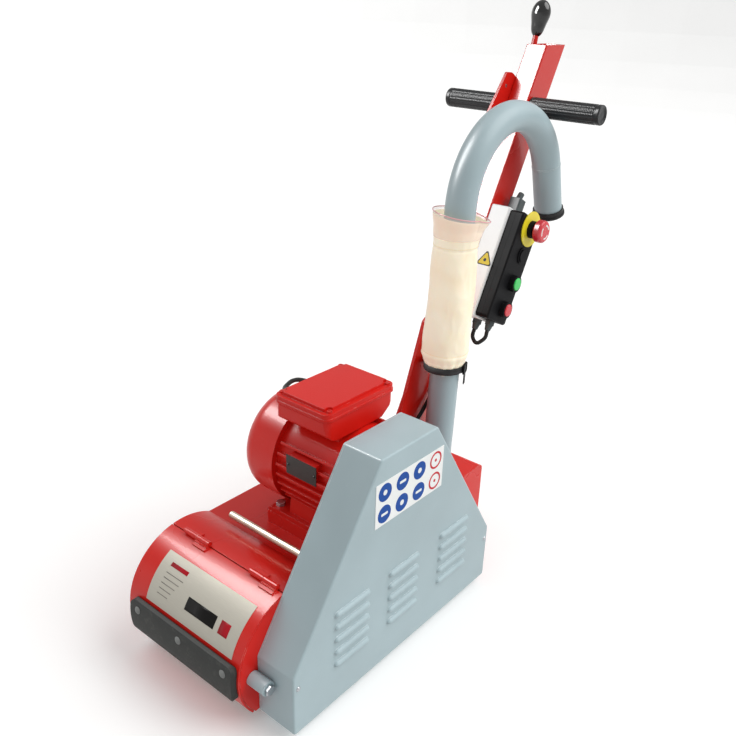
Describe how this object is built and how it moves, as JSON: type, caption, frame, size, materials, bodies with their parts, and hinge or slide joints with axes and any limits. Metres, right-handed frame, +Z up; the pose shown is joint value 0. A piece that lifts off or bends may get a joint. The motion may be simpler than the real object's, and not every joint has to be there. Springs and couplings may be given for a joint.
{
  "type": "floor drum sander",
  "caption": "Walk-behind floor drum sander: hooded drum, side belt guard, ribbed motor, leaning mast with handlebar, lift lever, dust pipe with bag.",
  "frame": {"origin": "on the floor under the middle of the machine's bounding box", "axes": "+Z up, +Y from the drum towards the operator, +X towards the belt guard"},
  "size_m": [0.3464, 0.905, 0.938],
  "materials": {
    "red_enamel": "glossy red enamel on sheet steel",
    "red_cast": "red paint on castings",
    "blue_grey_enamel": "satin blue-grey enamel",
    "white_enamel": "white enamel",
    "bright_steel": "turned and polished",
    "electrical_steel": "laminated",
    "zinc_steel": "zinc plated",
    "zinc_sheet": "galvanised sheet",
    "cast_aluminium": "machined casting",
    "black_plate": "blank black plate",
    "white_label": "white sticker with plain round marks",
    "silver_plate": "blank silver plate",
    "white_plastic": "moulded",
    "grey_plastic": "moulded",
    "black_plastic": "moulded, fine grain",
    "yellow_plastic": "moulded",
    "green_plastic": "moulded",
    "red_plastic": "moulded",
    "phenolic_knob": "polished phenolic",
    "belt_rubber": "flat belt",
    "black_rubber": "moulded",
    "grip_rubber": "moulded with a raised pattern",
    "bumper_rubber": "extruded strip",
    "cable_rubber": "round cable",
    "wheel_rubber": "moulded tyre",
    "abrasive_sleeve": "abrasive cloth on a rubber cushion",
    "cotton_canvas": "cream cotton",
    "clear_film": "clear film"
  },
  "bodies": {
    "root": {"bag_collar": "clear_film", "belt_guard": "blue_grey_enamel", "cable_glands": "grey_plastic", "chassis": "red_enamel", "control_leads": "cable_rubber", "drum_belt": "belt_rubber", "dust_bag": "cotton_canvas", "dust_duct": "zinc_sheet", "dust_pipe": "blue_grey_enamel", "estop_ring": "yellow_plastic", "fan_belt": "belt_rubber", "fan_housing": "blue_grey_enamel", "frame_fasteners": "zinc_steel", "guard_backplate": "blue_grey_enamel", "guard_label": "white_label", "handlebar_grips": "grip_rubber", "handlebar_tube": "bright_steel", "hood_hinges": "red_enamel", "inlet_connector": "grey_plastic", "lever_bracket": "red_enamel", "lift_bar": "bright_steel", "mast_column": "red_enamel", "mast_gussets": "red_enamel", "motor_base": "red_enamel", "motor_contactor": "grey_plastic", "motor_end_shields": "red_cast", "motor_fan_cowl": "red_enamel", "motor_nameplate": "black_plate", "motor_stator_housing": "red_cast", "pipe_outlet_ring": "black_rubber", "run_capacitor": "white_plastic", "shaft_bearings": "bright_steel", "station_base": "black_plastic", "station_bezels": "black_plastic", "station_cover": "black_plastic", "stator_core": "electrical_steel", "switch_enclosure": "white_enamel", "terminal_box": "red_cast", "terminal_box_lid": "red_cast"},
    "hood_flap": {"hood_flap": "red_enamel", "hood_plate": "silver_plate", "bumper": "bumper_rubber", "bumper_screws": "zinc_steel"},
    "drum": {"drum_core": "cast_aluminium", "drum_sleeve": "abrasive_sleeve", "drum_pulley": "cast_aluminium"},
    "motor_rotor": {"motor_rotor": "bright_steel"},
    "fan_impeller": {"fan_impeller": "cast_aluminium"},
    "wheel_carriage": {"wheel_carriage": "zinc_steel"},
    "lift_lever": {"lift_lever": "red_enamel", "lever_knob": "phenolic_knob"},
    "lift_rod": {"lift_rod": "zinc_steel"},
    "lift_wheel_left": {"lift_wheel_left": "wheel_rubber"},
    "lift_wheel_right": {"lift_wheel_right": "wheel_rubber"},
    "caster_fork": {"caster_fork": "zinc_steel"},
    "caster_wheel": {"caster_wheel": "wheel_rubber"},
    "start_button": {"start_button": "green_plastic"},
    "stop_button": {"stop_button": "red_plastic"},
    "estop_stem": {"estop_stem": "black_plastic"},
    "estop_cap": {"estop_cap": "red_plastic"}
  },
  "joints": [
    {"name": "hood_hinge", "type": "hinge", "parent": "root", "child": "hood_flap", "pos_m": [-0.0165, -0.35689, 0.19708], "axis": [-1, 0, 0], "range_deg": [0, 110]},
    {"name": "drum_spin", "type": "hinge", "parent": "root", "child": "drum", "pos_m": [-0.0165, -0.338, 0.0877], "axis": [1, 0, 0], "continuous": true},
    {"name": "rotor_spin", "type": "hinge", "parent": "root", "child": "motor_rotor", "pos_m": [-0.0165, -0.168, 0.292], "axis": [1, 0, 0], "continuous": true},
    {"name": "fan_spin", "type": "hinge", "parent": "root", "child": "fan_impeller", "pos_m": [-0.0165, 0.007, 0.095], "axis": [1, 0, 0], "continuous": true},
    {"name": "wheel_lift", "type": "hinge", "parent": "root", "child": "wheel_carriage", "pos_m": [-0.0165, -0.22, 0.06], "axis": [-1, 0, 0], "range_deg": [0, 3.5]},
    {"name": "lever_pivot", "type": "hinge", "parent": "root", "child": "lift_lever", "pos_m": [-0.0275, 0.38026, 0.82597], "axis": [-1, 0, 0], "range_deg": [0, 26.05]},
    {"name": "pull_rod_slide", "type": "slide", "parent": "root", "child": "lift_rod", "axis": [0, -0.4617, -0.887], "range_m": [0, 0.01265]},
    {"name": "left_wheel_spin", "type": "hinge", "parent": "wheel_carriage", "child": "lift_wheel_left", "pos_m": [-0.1165, -0.166, 0.0455], "axis": [1, 0, 0], "continuous": true},
    {"name": "right_wheel_spin", "type": "hinge", "parent": "wheel_carriage", "child": "lift_wheel_right", "pos_m": [0.0765, -0.166, 0.0455], "axis": [1, 0, 0], "continuous": true},
    {"name": "caster_swivel", "type": "hinge", "parent": "root", "child": "caster_fork", "pos_m": [-0.0265, 0.09, 0.062], "axis": [0, 0, 1], "continuous": true},
    {"name": "caster_wheel_spin", "type": "hinge", "parent": "caster_fork", "child": "caster_wheel", "pos_m": [-0.0265, 0.105, 0.025], "axis": [1, 0, 0], "continuous": true},
    {"name": "start_press", "type": "slide", "parent": "root", "child": "start_button", "axis": [1, 0, 0], "range_m": [-0.003, 0], "stiffness_N_per_m": 400},
    {"name": "stop_press", "type": "slide", "parent": "root", "child": "stop_button", "axis": [1, 0, 0], "range_m": [-0.003, 0], "stiffness_N_per_m": 400},
    {"name": "estop_press", "type": "slide", "parent": "root", "child": "estop_stem", "axis": [1, 0, 0], "range_m": [-0.004, 0]},
    {"name": "estop_twist", "type": "hinge", "parent": "estop_stem", "child": "estop_cap", "pos_m": [0.0865, 0.28243, 0.57611], "axis": [-1, 0, 0], "range_deg": [0, 45], "stiffness_Nm_per_rad": 0.05}
  ],
  "couplings": [
    {"joint": "rotor_spin", "follows": "drum_spin", "ratio": 1.25},
    {"joint": "fan_spin", "follows": "drum_spin", "ratio": 2.5463},
    {"joint": "lever_pivot", "follows": "wheel_lift", "ratio": 7.4218},
    {"joint": "pull_rod_slide", "follows": "wheel_lift", "m_per_rad": 0.20603}
  ]
}
